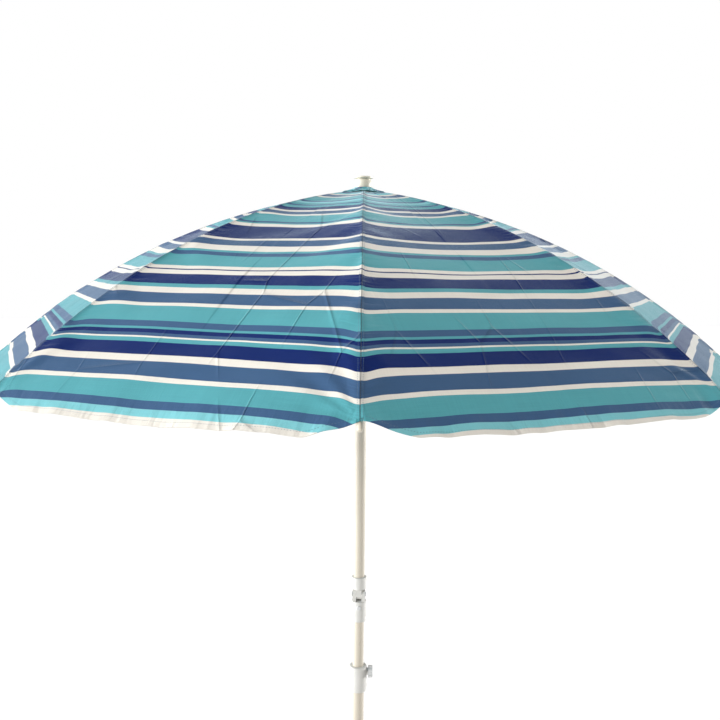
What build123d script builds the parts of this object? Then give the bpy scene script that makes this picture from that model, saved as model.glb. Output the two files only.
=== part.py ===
"""Beach umbrella with eight curved ribs, a sliding runner, a tilt knuckle and a two-piece pole.

Millimetres, +Z up. The origin is on the pole's axis at the lower pole's bottom end,
with the ground spike below it. Rib 1 points along -Y.
"""
from build123d import *
import os
from math import atan2, cos, degrees, radians, sin, tan

os.makedirs("parts", exist_ok=True)

# ---------------------------------------------------------------- driving dimensions
RIBS = 8                        # ribs, and gores of cloth between them
GORE_LENGTH = 900.0             # along the cloth, from its apex to a rib's tip
ARC_RADIUS = 1433.0             # of the cloth's arc over a rib
APEX_SLOPE = 6.3                # of that arc at the apex, degrees below level
CLOTH = 1.2                     # thickness of the cloth's solid
HEM_DROP = 40.0                 # cloth beyond the line from tip to tip
HEM_CORNER = 75.0               # width over which each hem corner is cut to the tip
CLOTH_START = 34.0              # radius at which the gores begin, under the top patch
CLOTH_GAP = 0.15                # from a panel's free edge to the middle of its gore

APEX_Z = 1990.0                 # cloth's apex above the lower pole's end
TILT_Z = 1080.0                 # tilt pin
LOWER_POLE_TOP = 880.0
MIDDLE_POLE_BOTTOM = 600.0

RIB_RADIUS = 3.0
RIB_DEPTH = 6.5                 # rib's centre line below the cloth's outer face
PIVOT_ARC = 25.0                # arc length from the apex to the rib's crown pivot
BRACKET_ARC = 425.0             # arc length from the apex to the stretcher bracket
BRACKET_DROP = 9.5              # stretcher pivot below the rib's centre line
TIP_RADIUS = 4.2
TIP_LENGTH = 19.0
TIP_OVERLAP = 7.0               # length of rib held in its tip

STRETCHER_RADIUS = 2.5
EYE_RADIUS = 3.5                # flat eyes at the crown and the runner
EYE_THICKNESS = 3.0
EYE_REACH = 14.0                # from a runner pin to where the stretcher turns round
SLOT_WIDTH = 3.6                # for a flat eye
PIN_RADIUS = 1.25               # crown and runner pins
PIN_LENGTH = 12.0
STUD_RADIUS = 1.5               # the bracket's own stud
RUNNING_FIT = 0.05              # radial clearance of a pin or a pole in its hole

POLE_RADIUS = 12.5
POLE_WALL = 1.25
LOWER_POLE_RADIUS = 14.3
HUB_RADIUS = 29.0               # crown and runner
HUB_SLOT_START = 18.0           # radius at which their slots begin
CROWN_TOP = 4.2                 # crown's top face below the apex
CROWN_BOTTOM = 24.0             # crown's lower face below the apex
KNUCKLE_RADIUS = 17.0

HALF_GORE = 180.0 / RIBS


# ---------------------------------------------------------------- cloth and rib curve
def slope(arc):
    """Slope of the cloth below level, in radians, at an arc length from the apex."""
    return radians(APEX_SLOPE) + arc / ARC_RADIUS


def cloth_point(arc, depth=0.0):
    """(radius, height from the apex) of a point at a depth under the cloth's face."""
    start = radians(APEX_SLOPE)
    radius = ARC_RADIUS * (sin(slope(arc)) - sin(start))
    height = -ARC_RADIUS * (cos(start) - cos(slope(arc)))
    return (radius - depth * sin(slope(arc)), height - depth * cos(slope(arc)))


def radial(azimuth):
    """Unit vector away from the pole, with rib 1 at azimuth 0 along -Y."""
    return Vector(sin(radians(azimuth)), -cos(radians(azimuth)), 0)


def upright_plane(azimuth, origin=(0, 0, APEX_Z)):
    """Plane through the pole: local x is away from the pole and local y is up."""
    return Plane(origin=origin, x_dir=radial(azimuth), z_dir=radial(azimuth).cross(Vector(0, 0, 1)))


def save(builder, name):
    """Label a finished piece and write its STEP file."""
    builder.part.label = name
    export_step(builder.part, f"parts/{name}.step")


PIVOT = cloth_point(PIVOT_ARC, RIB_DEPTH)
BRACKET = cloth_point(BRACKET_ARC, RIB_DEPTH + BRACKET_DROP)
PIVOT_RADIUS = PIVOT[0]
# The stretcher is as long as the rib's arm, so its inner eye runs straight down the pole.
ARM_RISE = PIVOT[1] - BRACKET[1]
ARM_RUN = BRACKET[0] - PIVOT[0]
ARM_LENGTH = (ARM_RISE**2 + ARM_RUN**2) ** 0.5
ARM_ANGLE = degrees(atan2(ARM_RISE, ARM_RUN))
RUNNER_PIVOT = (PIVOT_RADIUS, PIVOT[1] - 2 * ARM_RISE)
RUNNER_Z = APEX_Z + RUNNER_PIVOT[1]


# ---------------------------------------------------------------- canopy
def half_panel(azimuth, side):
    """Half of a panel: ruled square to the middle of the gore beside its rib."""
    middle = azimuth + side * HALF_GORE
    shrink = cos(radians(HALF_GORE))
    spread = tan(radians(HALF_GORE))
    hem_arc = GORE_LENGTH + HEM_DROP
    arcs = (CLOTH_START / 2, hem_arc / 2, hem_arc)
    outer = [(r * shrink, z) for r, z in (cloth_point(a) for a in arcs)]
    inner = [(r * shrink, z) for r, z in (cloth_point(a, CLOTH) for a in arcs)]
    tip = cloth_point(GORE_LENGTH)[0] * shrink
    hem = cloth_point(hem_arc)[0] * shrink
    with BuildPart() as half:
        with BuildSketch(upright_plane(middle)):
            with BuildLine():
                ThreePointArc(*outer)
                Line(outer[-1], inner[-1])
                ThreePointArc(*reversed(inner))
                Line(inner[0], outer[0])
            make_face()
        extrude(amount=GORE_LENGTH / 2, both=True)
        with BuildSketch(Plane(origin=(0, 0, APEX_Z - GORE_LENGTH), x_dir=radial(middle), z_dir=(0, 0, 1))):
            with BuildLine():
                Polyline(
                    (CLOTH_START * shrink, -side * CLOTH_START * shrink * spread),
                    (tip, -side * tip * spread),
                    (hem, -side * (tip * spread - HEM_CORNER)),
                    (hem, -side * CLOTH_GAP),
                    (CLOTH_START * shrink, -side * CLOTH_GAP),
                    close=True,
                )
            make_face()
        extrude(amount=2 * GORE_LENGTH, mode=Mode.INTERSECT)
    return half.part


def make_panel(number, azimuth):
    """The cloth from mid-gore to mid-gore over one rib."""
    with BuildPart() as panel:
        add(half_panel(azimuth, 1))
        add(half_panel(azimuth, -1))
    save(panel, f"canopy_panel_{number}")


# ---------------------------------------------------------------- ribs and stretchers
def flat_eye(plane, centre, toward, length, hole):
    """A flat tab with a pin hole at its end, made in the running part."""
    angle = degrees(atan2(toward[1] - centre[1], toward[0] - centre[0]))
    with BuildSketch(plane) as tab:
        with Locations(Location((*centre, 0), (0, 0, angle))):
            Circle(EYE_RADIUS)
            Rectangle(length, 2 * EYE_RADIUS, align=(Align.MIN, Align.CENTER))
    extrude(tab.sketch, amount=EYE_THICKNESS / 2, both=True)
    with BuildSketch(plane) as pin_hole:
        with Locations(centre):
            Circle(hole)
    extrude(pin_hole.sketch, amount=EYE_THICKNESS, both=True, mode=Mode.SUBTRACT)


def make_rib(number, azimuth):
    """Round curved rod with a flat eye for the crown pin."""
    plane = upright_plane(azimuth)
    eye_reach = 19.0                # the crown's lower rim is 15.4 mm from the pin
    tab_length = 23.0
    rod_start = PIVOT_ARC + eye_reach
    arcs = (rod_start, (rod_start + GORE_LENGTH) / 2, GORE_LENGTH)
    with BuildPart() as rib:
        with BuildLine(plane) as path:
            ThreePointArc(*[cloth_point(a, RIB_DEPTH) for a in arcs])
        with BuildSketch(Plane(origin=path.line @ 0, z_dir=path.line % 0)):
            Circle(RIB_RADIUS)
        sweep()
        toward = cloth_point(PIVOT_ARC + eye_reach + 4, RIB_DEPTH)
        flat_eye(plane, PIVOT, toward, tab_length, PIN_RADIUS + RUNNING_FIT)
    save(rib, f"rib_{number}")


def along_rib(azimuth, arc, depth=RIB_DEPTH):
    """Plane square to a rib, its normal towards the tip and its local x tangential."""
    radius, height = cloth_point(arc, depth)
    origin = radial(azimuth) * radius + Vector(0, 0, APEX_Z + height)
    outward = radial(azimuth) * cos(slope(arc)) - Vector(0, 0, sin(slope(arc)))
    return Plane(origin=origin, x_dir=Vector(0, 0, 1).cross(radial(azimuth)), z_dir=outward)


def make_tip(number, azimuth):
    """Moulded cap that holds the canopy's corner on the rib's end."""
    mouth = along_rib(azimuth, GORE_LENGTH - TIP_OVERLAP)
    with BuildPart() as tip:
        with BuildSketch(mouth):
            Circle(TIP_RADIUS)
        extrude(amount=TIP_LENGTH)
        fillet(tip.faces().sort_by(Axis(mouth.origin, mouth.z_dir))[-1].edges(), TIP_RADIUS * 0.7)
        with BuildSketch(mouth):
            Circle(RIB_RADIUS + RUNNING_FIT)
        extrude(amount=TIP_OVERLAP + RUNNING_FIT, mode=Mode.SUBTRACT)
    save(tip, f"rib_tip_{number}")


def make_bracket(number, azimuth):
    """Saddle on the rib with a flat ear and a stud for the stretcher's fork."""
    block_length = 10.0
    block_side = 9.0
    block_round = 1.5
    stud_length = 10.0
    middle = along_rib(azimuth, BRACKET_ARC)
    plane = upright_plane(azimuth)
    base = cloth_point(BRACKET_ARC, RIB_DEPTH)
    angle = degrees(atan2(BRACKET[1] - base[1], BRACKET[0] - base[0]))
    with BuildPart() as bracket:
        with BuildSketch(middle):
            RectangleRounded(block_side, block_side, block_round)
        extrude(amount=block_length / 2, both=True)
        with BuildSketch(plane):
            with Locations(Location((*base, 0), (0, 0, angle))):
                Rectangle(BRACKET_DROP, 2 * EYE_RADIUS, align=(Align.MIN, Align.CENTER))
            with Locations(BRACKET):
                Circle(EYE_RADIUS)
        extrude(amount=EYE_THICKNESS / 2, both=True)
        with BuildSketch(plane):
            with Locations(BRACKET):
                Circle(STUD_RADIUS)
        extrude(amount=stud_length / 2, both=True)
        with BuildSketch(middle):
            Circle(RIB_RADIUS + RUNNING_FIT)
        extrude(amount=block_length, both=True, mode=Mode.SUBTRACT)
    save(bracket, f"rib_bracket_{number}")


def make_stretcher(number, azimuth):
    """Round rod with a fork on the bracket's stud and a flat eye on the runner's pin."""
    fork_width = 8.6
    fork_depth = 8.0
    fork_length = 16.0
    slot_margin = 1.5
    tab_overlap = 4.0
    plane = upright_plane(azimuth)
    angle = degrees(atan2(RUNNER_PIVOT[1] - BRACKET[1], RUNNER_PIVOT[0] - BRACKET[0]))
    inward = Vector(RUNNER_PIVOT[0] - BRACKET[0], RUNNER_PIVOT[1] - BRACKET[1]).normalized()
    start = (BRACKET[0] + inward.X * fork_depth, BRACKET[1] + inward.Y * fork_depth)
    end = (RUNNER_PIVOT[0] - inward.X * EYE_REACH, RUNNER_PIVOT[1] - inward.Y * EYE_REACH)
    with BuildPart() as stretcher:
        with BuildLine(plane) as path:
            Line(start, end)
        with BuildSketch(Plane(origin=path.line @ 0, z_dir=path.line % 0)):
            Circle(STRETCHER_RADIUS)
        sweep()
        with BuildSketch(plane):
            with Locations(Location((*BRACKET, 0), (0, 0, angle))):
                Circle(EYE_RADIUS)
                Rectangle(fork_length, 2 * EYE_RADIUS, align=(Align.MIN, Align.CENTER))
        extrude(amount=fork_width / 2, both=True)
        with BuildSketch(plane):
            with Locations(Location((*BRACKET, 0), (0, 0, angle))):
                Circle(EYE_RADIUS + slot_margin)
                Rectangle(fork_depth, 2 * (EYE_RADIUS + slot_margin), align=(Align.MIN, Align.CENTER))
        extrude(amount=SLOT_WIDTH / 2, both=True, mode=Mode.SUBTRACT)
        with BuildSketch(plane):
            with Locations(BRACKET):
                Circle(STUD_RADIUS + RUNNING_FIT)
        extrude(amount=fork_width, both=True, mode=Mode.SUBTRACT)
        flat_eye(plane, RUNNER_PIVOT, BRACKET, EYE_REACH + tab_overlap, PIN_RADIUS + RUNNING_FIT)
    save(stretcher, f"stretcher_{number}")


for index in range(RIBS):
    turn = index * 360 / RIBS
    make_panel(index + 1, turn)
    make_rib(index + 1, turn)
    make_tip(index + 1, turn)
    make_bracket(index + 1, turn)
    make_stretcher(index + 1, turn)


# ---------------------------------------------------------------- crown
def hub_slots(low, high):
    """Slots for the flat eyes, open to the hub's rim."""
    with BuildSketch(Plane.XY.offset(low)) as slots:
        with PolarLocations(HUB_SLOT_START, RIBS, start_angle=90):
            Rectangle(HUB_RADIUS, SLOT_WIDTH, align=(Align.MIN, Align.CENTER))
    extrude(slots.sketch, amount=high - low, mode=Mode.SUBTRACT)


def pin_circles(height, mode=Mode.ADD):
    """The pins' own cylinders, one across each slot."""
    for number in range(RIBS):
        turn = number * 360 / RIBS
        with BuildSketch(upright_plane(turn, (0, 0, height))) as pin_end:
            with Locations((PIVOT_RADIUS, 0)):
                Circle(PIN_RADIUS)
        extrude(pin_end.sketch, amount=PIN_LENGTH / 2, both=True, mode=mode)


crown_low = APEX_Z - CROWN_BOTTOM
crown_high = APEX_Z - CROWN_TOP
cap_stem_radius = 5.0
spigot_length = 30.0
pole_bore = POLE_RADIUS - POLE_WALL
spigot_chamfer = 1.0

with BuildPart() as crown:
    with BuildSketch(Plane.XY.offset(crown_low)):
        Circle(HUB_RADIUS)
    extrude(amount=crown_high - crown_low)
    hub_slots(crown_low, crown_high)
    with BuildSketch(Plane.XY.offset(crown_low - spigot_length)):
        Circle(pole_bore)
    extrude(amount=spigot_length)
    chamfer(crown.edges().filter_by(GeomType.CIRCLE).sort_by(Axis.Z)[0], spigot_chamfer)
    pin_circles(APEX_Z + PIVOT[1], Mode.SUBTRACT)
    with BuildSketch(Plane.XY.offset(crown_low)):
        Circle(cap_stem_radius)
    extrude(amount=CROWN_BOTTOM, mode=Mode.SUBTRACT)
save(crown, "crown")

with BuildPart() as crown_pins:
    pin_circles(APEX_Z + PIVOT[1])
save(crown_pins, "crown_pins")

# Round patch of cloth clamped over the gores' inner ends.
patch_gap = 0.3
patch_radius = 46.0
patch_edge = cloth_point(patch_radius)[1] + patch_gap
with BuildPart() as top_patch:
    with BuildSketch(upright_plane(0)):
        with BuildLine():
            Polyline(
                (cap_stem_radius, patch_gap),
                (patch_radius, patch_edge),
                (patch_radius, patch_edge + CLOTH),
                (cap_stem_radius, patch_gap + CLOTH),
                close=True,
            )
        make_face()
    revolve(axis=Axis((0, 0, APEX_Z), (0, 0, 1)))
save(top_patch, "top_patch")

# Moulded cap: a round body under a thin wider disc, on a stem into the crown.
cap_base = patch_gap + CLOTH
cap_stem_low = cap_base - 20.0
cap_body_radius = 16.5
cap_body_flare = 1.5
cap_body_mid = cap_base + 11.0
cap_body_high = cap_base + 23.0
cap_disc_low = cap_base + 24.5
cap_disc_radius = 20.5
cap_height = 31.0
cap_rim = cap_base + 28.0
dome_radius = (cap_disc_radius**2 + (cap_height - cap_rim) ** 2) / (2 * (cap_height - cap_rim))
dome_mid = cap_disc_radius / 2
dome_mid_z = cap_height - dome_radius + (dome_radius**2 - dome_mid**2) ** 0.5
with BuildPart() as top_cap:
    with BuildSketch(upright_plane(0)):
        with BuildLine():
            Polyline(
                (0, cap_stem_low),
                (cap_stem_radius, cap_stem_low),
                (cap_stem_radius, cap_base),
                (cap_body_radius - cap_body_flare, cap_base),
            )
            ThreePointArc(
                (cap_body_radius - cap_body_flare, cap_base),
                (cap_body_radius + cap_body_flare, cap_body_mid),
                (cap_body_radius - cap_body_flare, cap_body_high),
            )
            Line((cap_body_radius - cap_body_flare, cap_body_high), (cap_disc_radius, cap_disc_low))
            Line((cap_disc_radius, cap_disc_low), (cap_disc_radius, cap_rim))
            ThreePointArc((cap_disc_radius, cap_rim), (dome_mid, dome_mid_z), (0, cap_height))
            Line((0, cap_height), (0, cap_stem_low))
        make_face()
    revolve(axis=Axis((0, 0, APEX_Z), (0, 0, 1)))
save(top_cap, "top_cap")

# ---------------------------------------------------------------- runner
runner_half = 9.0
sleeve_bottom = RUNNER_Z - 36.0
sleeve_radius = 18.0
sleeve_rim = 3.0
sleeve_rim_height = 6.0
sleeve_chamfer = 1.5
runner_bore = POLE_RADIUS + 2 * RUNNING_FIT
runner_screw_z = RUNNER_Z - 20.0
runner_shank = 2.5
screw_gap = 0.2                 # from a screw's end to the pole

with BuildPart() as runner:
    with BuildSketch(Plane.XY.offset(RUNNER_Z - runner_half)):
        Circle(HUB_RADIUS)
    extrude(amount=2 * runner_half)
    hub_slots(RUNNER_Z - runner_half, RUNNER_Z + runner_half)
    with BuildSketch(Plane.XY.offset(sleeve_bottom)):
        Circle(sleeve_radius)
    extrude(amount=RUNNER_Z - runner_half - sleeve_bottom)
    with BuildSketch(Plane.XY.offset(sleeve_bottom)):
        Circle(sleeve_radius + sleeve_rim)
    extrude(amount=sleeve_rim_height)
    chamfer(runner.edges().filter_by(GeomType.CIRCLE).sort_by(Axis.Z)[0], sleeve_chamfer)
    pin_circles(RUNNER_Z, Mode.SUBTRACT)
    with BuildSketch(Plane.XY.offset(sleeve_bottom)):
        Circle(runner_bore)
    extrude(amount=RUNNER_Z + runner_half - sleeve_bottom, mode=Mode.SUBTRACT)
    # hole for the locking screw, through the sleeve on the +X side
    with BuildSketch(Plane.YZ):
        with Locations((0, runner_screw_z)):
            Circle(runner_shank + RUNNING_FIT)
    extrude(amount=2 * sleeve_radius, mode=Mode.SUBTRACT)
save(runner, "runner")

with BuildPart() as runner_pins:
    pin_circles(RUNNER_Z)
save(runner_pins, "runner_pins")


def make_screw(name, height, shank, start, neck, knob_radius, knob_length):
    """Hand screw along +X: a shank that stops short of the pole, and a lobed knob."""
    hollows = 6
    hollow_radius = knob_radius * 0.3
    edge_round = 0.8
    with BuildPart() as screw:
        with BuildSketch(Plane.YZ.offset(start)):
            with Locations((0, height)):
                Circle(shank)
        extrude(amount=neck - start)
        with BuildSketch(Plane.YZ.offset(neck)):
            with Locations((0, height)):
                Circle(knob_radius)
                with PolarLocations(knob_radius, hollows):
                    Circle(hollow_radius, mode=Mode.SUBTRACT)
        extrude(amount=knob_length)
        fillet(screw.faces().sort_by(Axis.X)[-1].edges(), edge_round)
    save(screw, name)


make_screw(
    "runner_screw",
    height=runner_screw_z,
    shank=runner_shank,
    start=POLE_RADIUS + screw_gap,
    neck=sleeve_radius + 1.5,
    knob_radius=8.5,
    knob_length=7.0,
)


# ---------------------------------------------------------------- poles
def make_tube(name, radius, wall, low, high):
    """Straight round tube about the Z axis."""
    with BuildPart() as tube:
        with BuildSketch(Plane.XY.offset(low)):
            Circle(radius)
            Circle(radius - wall, mode=Mode.SUBTRACT)
        extrude(amount=high - low)
    save(tube, name)


knuckle_gap = 14.0              # from the tilt pin to each knuckle's shoulder
head_top = TILT_Z + 42.0
base_low = TILT_Z - 62.0
base_seat = TILT_Z - 40.0       # the middle pole's top end
tongue_half = 6.0
ear_inner = 6.3
ear_outer = KNUCKLE_RADIUS - 3.0
lobe_radius = 12.0
lobe_overlap = 2.0
knuckle_chamfer = 1.0
pole_seat = TILT_Z + 22.0       # the upper pole's lower end
tilt_pin_radius = 3.0
pin_head_radius = 5.0
pin_head_height = 1.8

make_tube("upper_pole", POLE_RADIUS, POLE_WALL, pole_seat, crown_low)
make_tube("middle_pole", POLE_RADIUS, POLE_WALL, MIDDLE_POLE_BOTTOM, base_seat)

# The lower pole's top end is reduced where the clamp collar sits on it.
neck_radius = LOWER_POLE_RADIUS - 0.3
collar_low = LOWER_POLE_TOP - 30.0
with BuildPart() as lower_pole:
    with BuildSketch(Plane.XY):
        Circle(LOWER_POLE_RADIUS)
    extrude(amount=collar_low)
    with BuildSketch(Plane.XY.offset(collar_low)):
        Circle(neck_radius)
    extrude(amount=LOWER_POLE_TOP - collar_low)
    with BuildSketch(Plane.XY):
        Circle(POLE_RADIUS + RUNNING_FIT)
    extrude(amount=LOWER_POLE_TOP, mode=Mode.SUBTRACT)
save(lower_pole, "lower_pole")


# ---------------------------------------------------------------- tilt knuckle
def lobe(half_width, up):
    """Tongue or ear round the tilt pin, reaching to its own shoulder."""
    shoulder_side = Align.MIN if up else Align.MAX
    with BuildSketch(Plane.YZ) as outline:
        with Locations((0, TILT_Z)):
            Circle(lobe_radius)
            Rectangle(2 * lobe_radius, knuckle_gap + lobe_overlap, align=(Align.CENTER, shoulder_side))
    extrude(outline.sketch, amount=half_width, both=True)


with BuildPart() as tilt_head:
    with BuildSketch(Plane.XY.offset(TILT_Z + knuckle_gap)):
        Circle(KNUCKLE_RADIUS)
    extrude(amount=head_top - TILT_Z - knuckle_gap)
    chamfer(tilt_head.edges().filter_by(GeomType.CIRCLE), knuckle_chamfer)
    lobe(tongue_half, True)
    with BuildSketch(Plane.XY.offset(pole_seat)):
        Circle(POLE_RADIUS)
    extrude(amount=head_top - TILT_Z, mode=Mode.SUBTRACT)
    with BuildSketch(Plane.YZ):
        with Locations((0, TILT_Z)):
            Circle(tilt_pin_radius + RUNNING_FIT)
    extrude(amount=KNUCKLE_RADIUS, both=True, mode=Mode.SUBTRACT)
save(tilt_head, "tilt_head")

button_z = TILT_Z - 27.0
button_radius = 5.0
button_bore_depth = 11.5
button_round = 1.5
with BuildPart() as tilt_base:
    with BuildSketch(Plane.XY.offset(base_low)):
        Circle(KNUCKLE_RADIUS)
    extrude(amount=TILT_Z - knuckle_gap - base_low)
    chamfer(tilt_base.edges().filter_by(GeomType.CIRCLE), knuckle_chamfer)
    lobe(ear_outer, False)
    with BuildSketch(Plane.YZ):
        with Locations((0, TILT_Z)):
            Rectangle(4 * KNUCKLE_RADIUS, 2 * knuckle_gap)
    extrude(amount=ear_inner, both=True, mode=Mode.SUBTRACT)
    with BuildSketch(Plane.XY.offset(base_low)):
        Circle(POLE_RADIUS)
    extrude(amount=base_seat - base_low, mode=Mode.SUBTRACT)
    with BuildSketch(Plane.YZ):
        with Locations((0, TILT_Z)):
            Circle(tilt_pin_radius)
    extrude(amount=KNUCKLE_RADIUS, both=True, mode=Mode.SUBTRACT)
    with BuildSketch(Plane.XZ.offset(KNUCKLE_RADIUS - button_bore_depth)):
        with Locations((0, button_z)):
            Circle(button_radius + RUNNING_FIT)
    extrude(amount=2 * KNUCKLE_RADIUS, mode=Mode.SUBTRACT)
save(tilt_base, "tilt_base")

with BuildPart() as tilt_pin:
    with BuildSketch(Plane.YZ):
        with Locations((0, TILT_Z)):
            Circle(tilt_pin_radius)
    extrude(amount=ear_outer, both=True)
    for sign in (-1, 1):
        with BuildSketch(Plane.YZ.offset(sign * ear_outer)):
            with Locations((0, TILT_Z)):
                Circle(pin_head_radius)
        extrude(amount=sign * pin_head_height)
save(tilt_pin, "tilt_pin")

button_travel = 3.0
button_out = 3.5
with BuildPart() as tilt_button:
    with BuildSketch(Plane.XZ.offset(KNUCKLE_RADIUS - button_bore_depth + button_travel)):
        with Locations((0, button_z)):
            Circle(button_radius)
    extrude(amount=button_bore_depth - button_travel + button_out)
    fillet(tilt_button.faces().sort_by(Axis.Y)[0].edges(), button_round)
save(tilt_button, "tilt_button")

# ---------------------------------------------------------------- height clamp and spike
collar_high = LOWER_POLE_TOP + 30.0
collar_radius = 20.0
clamp_z = LOWER_POLE_TOP + 15.0
clamp_shank = 3.0
collar_chamfer = 1.5
boss_radius = 8.0
boss_out = 3.0                  # beyond the collar

with BuildPart() as clamp_collar:
    with BuildSketch(Plane.XY.offset(collar_low)):
        Circle(collar_radius)
    extrude(amount=collar_high - collar_low)
    chamfer(clamp_collar.edges(), collar_chamfer)
    with BuildSketch(Plane.YZ.offset(collar_radius - boss_out)):
        with Locations((0, clamp_z)):
            Circle(boss_radius)
    extrude(amount=2 * boss_out)
    with BuildSketch(Plane.XY.offset(collar_low)):
        Circle(neck_radius)
    extrude(amount=LOWER_POLE_TOP - collar_low, mode=Mode.SUBTRACT)
    with BuildSketch(Plane.XY.offset(LOWER_POLE_TOP)):
        Circle(POLE_RADIUS + RUNNING_FIT)
    extrude(amount=collar_high - LOWER_POLE_TOP, mode=Mode.SUBTRACT)
    with BuildSketch(Plane.YZ):
        with Locations((0, clamp_z)):
            Circle(clamp_shank + RUNNING_FIT)
    extrude(amount=2 * collar_radius, mode=Mode.SUBTRACT)
save(clamp_collar, "clamp_collar")

make_screw(
    "clamp_screw",
    height=clamp_z,
    shank=clamp_shank,
    start=POLE_RADIUS + screw_gap,
    neck=collar_radius + 3.5,
    knob_radius=14.0,
    knob_length=10.0,
)

plug_length = 40.0
shoulder = 8.0
spike_length = 150.0
point_radius = 2.5
plug_chamfer = 1.0
shoulder_radius = LOWER_POLE_RADIUS - 0.8
with BuildPart() as ground_spike:
    with BuildSketch(upright_plane(0, (0, 0, 0))):
        with BuildLine():
            Polyline(
                (0, plug_length),
                (POLE_RADIUS - plug_chamfer, plug_length),
                (POLE_RADIUS, plug_length - plug_chamfer),
                (POLE_RADIUS, 0),
                (shoulder_radius, 0),
                (shoulder_radius, -shoulder),
                (point_radius, -spike_length),
                (0, -spike_length),
                close=True,
            )
        make_face()
    revolve(axis=Axis.Z)
    fillet(ground_spike.edges().sort_by(Axis.Z)[0], point_radius * 0.8)
save(ground_spike, "ground_spike")

print(f"crown pivot {PIVOT_RADIUS:.4f} mm out, at z {APEX_Z + PIVOT[1]:.4f}")
print(f"arm {ARM_LENGTH:.4f} mm at {ARM_ANGLE:.4f} degrees, runner pivots at z {RUNNER_Z:.4f}")
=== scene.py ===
"""Striped beach umbrella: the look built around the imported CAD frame. Metres throughout."""
from math import cos, pi, radians, sin

import bpy
import numpy as np
from mathutils import Matrix, Vector


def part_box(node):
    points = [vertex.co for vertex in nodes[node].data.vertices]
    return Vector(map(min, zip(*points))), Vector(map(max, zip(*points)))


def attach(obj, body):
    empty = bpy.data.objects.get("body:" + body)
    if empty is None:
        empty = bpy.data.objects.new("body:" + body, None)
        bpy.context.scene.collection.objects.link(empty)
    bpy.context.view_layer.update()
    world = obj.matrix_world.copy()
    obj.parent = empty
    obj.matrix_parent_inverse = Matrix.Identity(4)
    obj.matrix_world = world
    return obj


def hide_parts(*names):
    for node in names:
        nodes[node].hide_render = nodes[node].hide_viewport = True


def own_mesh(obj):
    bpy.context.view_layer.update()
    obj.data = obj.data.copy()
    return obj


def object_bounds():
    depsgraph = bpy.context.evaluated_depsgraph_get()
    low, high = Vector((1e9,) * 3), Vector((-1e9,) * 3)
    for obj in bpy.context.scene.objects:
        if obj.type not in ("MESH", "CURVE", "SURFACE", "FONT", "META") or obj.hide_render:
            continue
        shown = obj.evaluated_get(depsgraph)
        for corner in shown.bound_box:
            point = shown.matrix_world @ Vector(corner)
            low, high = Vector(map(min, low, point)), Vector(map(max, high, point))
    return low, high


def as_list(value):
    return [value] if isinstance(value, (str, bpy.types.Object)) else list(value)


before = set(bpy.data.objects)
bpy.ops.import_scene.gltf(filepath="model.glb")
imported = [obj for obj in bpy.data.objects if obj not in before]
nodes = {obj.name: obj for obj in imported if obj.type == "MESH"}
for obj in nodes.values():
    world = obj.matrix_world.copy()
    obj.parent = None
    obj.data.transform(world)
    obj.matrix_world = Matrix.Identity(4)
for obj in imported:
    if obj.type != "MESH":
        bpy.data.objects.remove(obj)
cad_low, cad_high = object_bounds()

# ------------------------------------------------------------------ sizes
RIBS = 8
GORE_LENGTH = 0.900             # cloth from the apex to a rib's tip
ARC_RADIUS = 1.433              # of the cloth's arc over a rib
APEX_SLOPE = radians(6.3)
HALF_GORE = pi / RIBS
HEM_DROP = 0.040                # cloth beyond the line from tip to tip
HEM_CORNER = 0.080              # width of each diagonal cut at the hem's corners
START_ARC = 0.0342              # inner end of the gores, under the collar
CLOTH = 0.0007
SAG = 0.0090                    # deepest sag of a gore between its ribs
SAG_END = 0.78                  # arc length below which the gore no longer sags
HEM_BULGE = 0.0060              # outward bulge of the gore near its hem
SEAM_HALF = 0.0055              # half the width of the felled seam over a rib
SEAM_RISE = 0.0009
SEAM_DIP = 0.0100               # of the stripes towards a rib's tip
SEAM_DIP_WIDTH = 0.021
HEM_WIDTH = 0.0120
HEM_RISE = 0.0006
HEM_END = 0.0046                # from the rib's line to the end of the hem beside it
NEAR_WIDTH = 0.054              # of the cloth beside a rib that folds as one with it
NEAR_SHARE = 0.46               # of its width when the umbrella is folded
SIDE_SHARE = 0.065              # the same for the cloth further out
MIDDLE = 0.0003                 # share of a half gore left free at mid-gore
ROWS = 150                      # cloth mesh down a gore
NEAR_COLUMNS = 12               # cloth mesh across the part near a rib
SIDE_COLUMNS = 38               # and across the part beyond it

# amplitudes of the cloth's wrinkles
SEAM_PUCKER = 0.0014
SEAM_DRAG = 0.0030
HEM_PUCKER = 0.0023
HEM_WAVE = 0.0042
TIP_FAN = 0.0046
SLACK = 0.0018
NOISE_SIZE = 128                # cells a side in the table behind the wrinkles

# the felled seam's mesh, and where it lies on the cloth
SEAM_ROWS = 260
SEAM_COLUMNS = 7
SEAM_INNER_GAP = 0.002          # from the cloth's inner end
SEAM_TIP_GAP = 0.003            # from the rib's tip
SEAM_LIFT = 0.00005
SEAM_UNDER = -0.0002            # its underside, just below the cloth's top
SEAM_FROM_HEM = 0.08            # far enough that no hem puckers show on it
HEM_COLUMNS = 24                # hem mesh along the part near a rib
SIDE_HEM_COLUMNS = 64           # and along the part beyond it

STITCH_PITCH = 0.0042
STITCH_LENGTH = 0.0030
STITCH_RADIUS = 0.00028

CLOTH_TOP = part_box("canopy_panel_1")[1].z
APEX_Z = CLOTH_TOP + ARC_RADIUS * (cos(APEX_SLOPE) - cos(APEX_SLOPE + START_ARC / ARC_RADIUS))


# ------------------------------------------------------------------ cloth surface
def profile(arc):
    """Radius and height from the apex along a rib, and the slope below level."""
    slope = APEX_SLOPE + arc / ARC_RADIUS
    radius = ARC_RADIUS * (np.sin(slope) - sin(APEX_SLOPE))
    height = -ARC_RADIUS * (cos(APEX_SLOPE) - np.cos(slope))
    return radius, height, slope


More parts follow.
